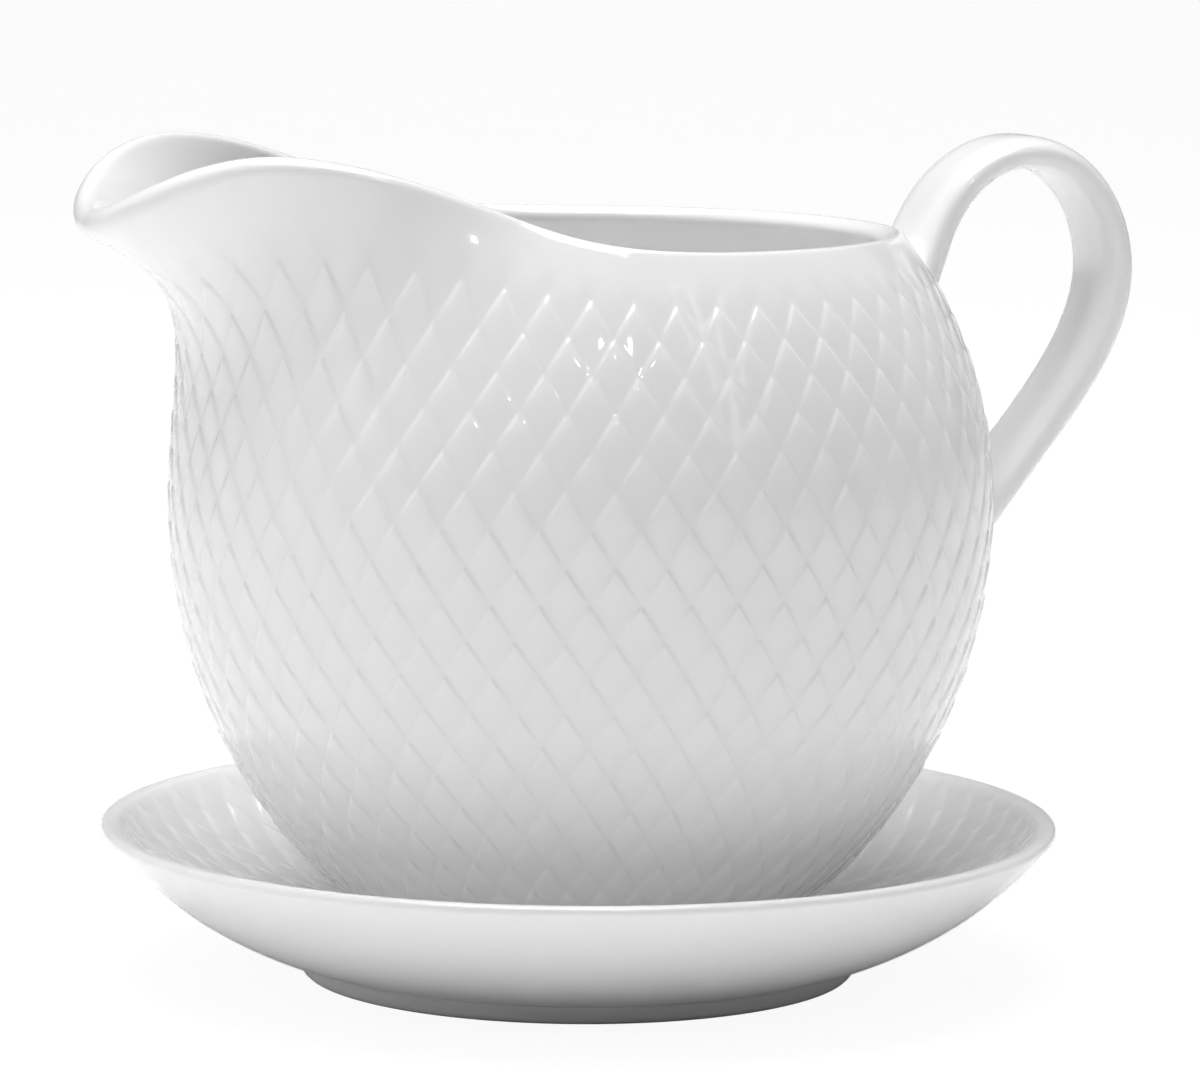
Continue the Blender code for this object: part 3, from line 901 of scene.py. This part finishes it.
class MESH_OT_saucer_skin(bpy.types.Operator):
    """Makes the saucer with its petal slope, rounded lip and foot ring"""

    bl_idname = "mesh.saucer_skin"
    bl_label = "Make saucer"

    def execute(self, context):
        scene = context.scene
        rows, hollow, bare = saucer_rows(scene.saucer_sizes)
        materials = [
            # the glaze greys in the hollows of the petals: pooled glaze and painted shade
            glaze_material("Saucer glaze", scene.glaze_colours, cloud_size=55.0, cloud_amount=0.25,
                           shade_and_pool_share=0.6, waves=95.0, wave_depth=0.00006),
            bare_foot_material("Saucer foot, wiped", scene.glaze_colours, grains=2400.0),
        ]
        piece = closed_skin("saucer_skin", rows, materials, bare, hollow)
        put_in_frame(piece, "saucer", "saucer")
        return {"FINISHED"}


class MESH_OT_jug_skin(bpy.types.Operator):
    """Makes the jug's body: petal wall, spout, rounded lip, smooth inside and foot ring"""

    bl_idname = "mesh.jug_skin"
    bl_label = "Make jug body"

    def execute(self, context):
        scene = context.scene
        rows, hollow, bare = jug_rows(scene.jug_sizes)
        materials = [
            # the glaze greys in the hollows of the petals: pooled glaze and painted shade
            glaze_material("Jug glaze", scene.glaze_colours, cloud_size=48.0, cloud_amount=0.25,
                           shade_and_pool_share=0.6, waves=85.0, wave_depth=0.00008),
            bare_foot_material("Jug foot, wiped", scene.glaze_colours, grains=2600.0),
        ]
        piece = closed_skin("jug_skin", rows, materials, bare, hollow)
        put_in_frame(piece, "jug", "jug_body")
        return {"FINISHED"}


class MESH_OT_jug_strap(bpy.types.Operator):
    """Makes the strap handle with its rounded roots"""

    bl_idname = "mesh.jug_strap"
    bl_label = "Make handle"

    def execute(self, context):
        scene = context.scene
        rows = handle_rows(scene.handle_sizes)
        materials = [
            glaze_material("Handle glaze", scene.glaze_colours, cloud_size=70.0, cloud_amount=0.3,
                           shade_and_pool_share=0.0, waves=120.0, wave_depth=0.00005),
        ]
        piece = closed_skin("jug_strap", rows, materials, np.zeros(len(rows) - 1, int))
        put_in_frame(piece, "jug", "jug_handle")
        return {"FINISHED"}


# ------------------------------------------------------------------ stage
TARGET = (AXIS_X, 0.0, 0.056)
SENSOR_WIDTH = 36.0
SHIFT_X = 0.0166
SHIFT_Y = 0.0391
PAPER_REACH = 3.0
PAPER_BEND = 1.2
PAPER_GLOW = 1.03
PAPER_GLOW_SHARE = 0.9
DARK_SIDE_RIGHT = 0.5
DARKENING = (-0.7, 0.9)
# each lamp: its place to the right of, in front of and above the target, its width and height, its setting
LAMPS = {
    "left_soft_box": ((-1.2, 0.35, 0.65), (0.9, 1.1), "left_lamp"),
    "top_soft_box": ((-0.1, 0.0, 1.5), (1.3, 1.0), "top_lamp"),
    "strip_lamp": ((0.75, 0.75, 0.75), (0.10, 0.9), "strip_lamp"),
    "small_lamp": ((0.16, 0.76, 0.62), (0.04, 0.04), "small_lamp"),
}


def aim(thing, place, roll=0.0):
    """Puts a lamp or camera at a place so that it looks at the target."""
    look = Vector(TARGET) - Vector(place)
    turn = look.to_track_quat("-Z", "Y").to_matrix().to_4x4()
    thing.matrix_world = Matrix.Translation(Vector(place)) @ turn @ Matrix.Rotation(roll, 4, "Z")


def soft_box(name, place, width, height, power):
    """A rectangular white lamp that faces the target."""
    light = bpy.data.lights.new(name, "AREA")
    light.shape = "RECTANGLE"
    light.size = width
    light.size_y = height
    light.energy = power
    lamp = bpy.data.objects.new(name, light)
    bpy.context.scene.collection.objects.link(lamp)
    aim(lamp, place)


def paper_sweep(reach, bend_radius):
    """Studio paper as points and four-sided faces: flat under the object, then a quarter circle up into an
    upright wall behind it. It reaches as far to each side, to the front, to the back and up."""
    flat = np.stack([np.linspace(-reach, reach - bend_radius, 24), np.zeros(24)], -1)
    turn = np.linspace(0, math.pi / 2, 25)[1:]
    curve = np.stack([reach - bend_radius + bend_radius * np.sin(turn), bend_radius * (1 - np.cos(turn))], -1)
    wall = np.stack([np.full(12, reach), np.linspace(bend_radius, reach, 13)[1:]], -1)
    line = np.concatenate([flat, curve, wall])
    x = np.linspace(-reach, reach, 25)[None, :] + 0 * line[:, :1]
    points = np.stack([x, line[:, :1] + 0 * x, line[:, 1:] + 0 * x], -1)
    rows, columns, _ = points.shape
    index = np.arange(rows * columns).reshape(rows, columns)
    faces = np.stack([index[:-1, :-1], index[:-1, 1:], index[1:, 1:], index[1:, :-1]], -1).reshape(-1, 4)
    return points.reshape(-1, 3), faces


def paper_material(colour):
    """Matt paper with a faint fibre. To the camera it glows a little, so that it stays clean and pale; from
    below it is clear, so that the foot rings can be looked at."""
    material, tree, shader = plain_material("Studio paper")
    fibre = noise(tree, tree.nodes.new("ShaderNodeTexCoord").outputs["Object"], 900.0, 4.0)
    shade = mix_colour(tree, fibre, (*colour, 1), tuple(channel * 0.985 for channel in colour) + (1,))
    tree.links.new(shade, shader.inputs["Base Color"])
    shader.inputs["Roughness"].default_value = 0.9
    shader.inputs["Specular IOR Level"].default_value = 0.1
    glow = tree.nodes.new("ShaderNodeEmission")
    glow.inputs["Color"].default_value = (1, 1, 1, 1)
    glow.inputs["Strength"].default_value = PAPER_GLOW
    seen = tree.nodes.new("ShaderNodeLightPath")
    blend = tree.nodes.new("ShaderNodeMixShader")
    share = math_node(tree, "MULTIPLY", seen.outputs["Is Camera Ray"], PAPER_GLOW_SHARE)
    tree.links.new(share, blend.inputs[0])
    tree.links.new(shader.outputs[0], blend.inputs[1])
    tree.links.new(glow.outputs[0], blend.inputs[2])
    sided = tree.nodes.new("ShaderNodeMixShader")
    tree.links.new(tree.nodes.new("ShaderNodeNewGeometry").outputs["Backfacing"], sided.inputs[0])
    tree.links.new(blend.outputs[0], sided.inputs[1])
    tree.links.new(tree.nodes.new("ShaderNodeBsdfTransparent").outputs[0], sided.inputs[2])
    output = next(node for node in tree.nodes if node.type == "OUTPUT_MATERIAL")
    tree.links.new(sided.outputs[0], output.inputs["Surface"])
    return material


def room_light(stage, front, right):
    """Even light that fades smoothly from behind the object on the left to a darker front on the right."""
    world = bpy.data.worlds.new("room")
    world.use_nodes = True
    tree = world.node_tree
    air = tree.nodes["Background"]
    air.inputs["Color"].default_value = (1, 1, 1, 1)
    facing = tree.nodes.new("ShaderNodeVectorMath")
    facing.operation = "DOT_PRODUCT"
    dark_side = front + DARK_SIDE_RIGHT * right
    facing.inputs[1].default_value = tuple(dark_side / np.linalg.norm(dark_side))
    tree.links.new(tree.nodes.new("ShaderNodeTexCoord").outputs["Generated"], facing.inputs[0])
    level = tree.nodes.new("ShaderNodeMapRange")
    level.interpolation_type = "SMOOTHSTEP"
    for label, value in (("From Min", DARKENING[0]), ("From Max", DARKENING[1]),
                         ("To Min", stage.room), ("To Max", stage.room * stage.front_share)):
        level.inputs[label].default_value = value
    tree.links.new(facing.outputs["Value"], level.inputs["Value"])
    tree.links.new(level.outputs["Result"], air.inputs["Strength"])
    return world


class SCENE_OT_gravy_stage(bpy.types.Operator):
    """Lays the studio paper, hangs the lamps and sets up the camera"""

    bl_idname = "scene.gravy_stage"
    bl_label = "Make stage"

    def execute(self, context):
        scene = context.scene
        stage = scene.stage_setup
        sine, cosine = math.sin(stage.camera_turn), math.cos(stage.camera_turn)
        right = np.array([cosine, sine, 0.0])
        front = np.array([sine, -cosine, 0.0])
        up = np.array([0.0, 0.0, 1.0])
        target = np.array(TARGET)

        points, faces = paper_sweep(PAPER_REACH, PAPER_BEND)
        points = points @ np.stack([right, -front, up])
        mesh = bpy.data.meshes.new("studio_paper")
        mesh.from_pydata(points.tolist(), [], faces.tolist())
        mesh.shade_smooth()
        mesh.materials.append(paper_material(stage.paper))
        floor = bpy.data.objects.new("studio_paper", mesh)
        scene.collection.objects.link(floor)

        lens = bpy.data.cameras.new("camera")
        lens.lens = stage.lens
        lens.sensor_width = SENSOR_WIDTH
        lens.shift_x = SHIFT_X
        lens.shift_y = SHIFT_Y
        lens.clip_start = 0.01
        lens.clip_end = 50.0
        camera = bpy.data.objects.new("camera", lens)
        scene.collection.objects.link(camera)
        back = front * math.cos(stage.camera_rise) + up * math.sin(stage.camera_rise)
        aim(camera, target + stage.camera_distance * back, stage.camera_roll)
        scene.camera = camera

        for name, (place, size, setting) in LAMPS.items():
            aside, ahead, above = place
            spot = target + aside * right + ahead * front + above * up
            soft_box(name, spot, *size, getattr(stage, setting))
        scene.world = room_light(stage, front, right)
        scene.view_settings.view_transform = "Standard"
        return {"FINISHED"}


class VIEW3D_PT_gravy_boat(bpy.types.Panel):
    """Sidebar panel that lists the pieces and their sizes"""

    bl_idname = "VIEW3D_PT_gravy_boat"
    bl_label = "Gravy Boat"
    bl_space_type = "VIEW_3D"
    bl_region_type = "UI"
    bl_category = "Gravy Boat"

    def draw(self, context):
        scene = context.scene
        for group, operator in SHEETS:
            box = self.layout.box()
            settings = getattr(scene, group)
            for name in settings.bl_rna.properties.keys():
                if name not in {"rna_type", "name"}:
                    box.prop(settings, name)
            if operator:
                box.operator(operator)


SHEETS = (
    ("glaze_colours", None),
    ("saucer_sizes", "mesh.saucer_skin"),
    ("jug_sizes", "mesh.jug_skin"),
    ("handle_sizes", "mesh.jug_strap"),
    ("stage_setup", "scene.gravy_stage"),
)
SETTINGS = {
    "glaze_colours": GlazeSettings,
    "saucer_sizes": SaucerSettings,
    "jug_sizes": JugSettings,
    "handle_sizes": HandleSettings,
    "stage_setup": StageSettings,
}
TOOLS = (MESH_OT_saucer_skin, MESH_OT_jug_skin, MESH_OT_jug_strap, SCENE_OT_gravy_stage, VIEW3D_PT_gravy_boat)


def register():
    for name, group in SETTINGS.items():
        bpy.utils.register_class(group)
        setattr(bpy.types.Scene, name, bpy.props.PointerProperty(type=group))
    for tool in TOOLS:
        bpy.utils.register_class(tool)


def unregister():
    for tool in reversed(TOOLS):
        bpy.utils.unregister_class(tool)
    for name, group in reversed(SETTINGS.items()):
        delattr(bpy.types.Scene, name)
        bpy.utils.unregister_class(group)


def main():
    """Registers the tools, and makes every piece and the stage."""
    register()
    bpy.ops.mesh.saucer_skin()
    bpy.ops.mesh.jug_skin()
    bpy.ops.mesh.jug_strap()
    bpy.ops.scene.gravy_stage()


if __name__ == "__main__":
    main()
